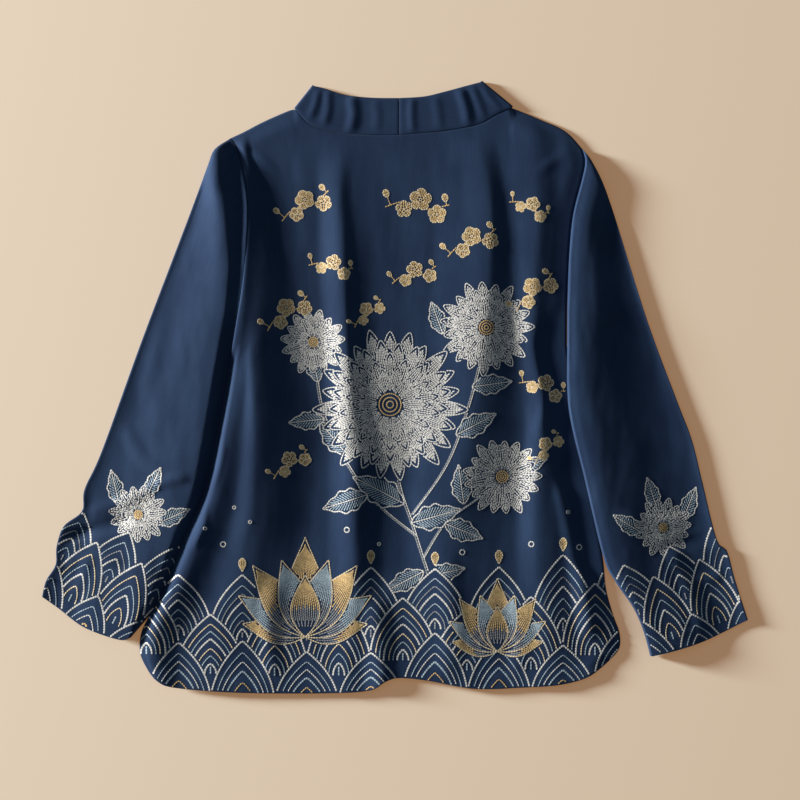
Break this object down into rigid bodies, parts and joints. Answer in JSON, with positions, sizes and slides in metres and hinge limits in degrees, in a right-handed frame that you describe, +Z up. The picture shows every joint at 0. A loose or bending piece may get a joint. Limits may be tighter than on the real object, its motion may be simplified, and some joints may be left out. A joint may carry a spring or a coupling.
{
  "type": "hanfu wrap shirt",
  "caption": "Long-sleeved cloth wrap shirt with a standing neckband and a curved hem, lying flat on its front so that its back shows.",
  "frame": {"origin": "on the surface that the shirt lies on, under the middle of its length and width", "axes": "+X towards the wearer's right sleeve (the right of the picture), +Y from the hem towards the neckband, +Z up from the surface, out of the shirt's back"},
  "size_m": [0.883, 0.7658, 0.0155],
  "materials": {
    "navy_cloth": "matt woven cotton and linen cloth, dark navy"
  },
  "bodies": {
    "root": {"back_panel": "navy_cloth", "front_left": "navy_cloth", "front_right": "navy_cloth", "sleeve_left": "navy_cloth", "sleeve_right": "navy_cloth", "collar_left": "navy_cloth", "collar_right": "navy_cloth"}
  },
  "joints": []
}
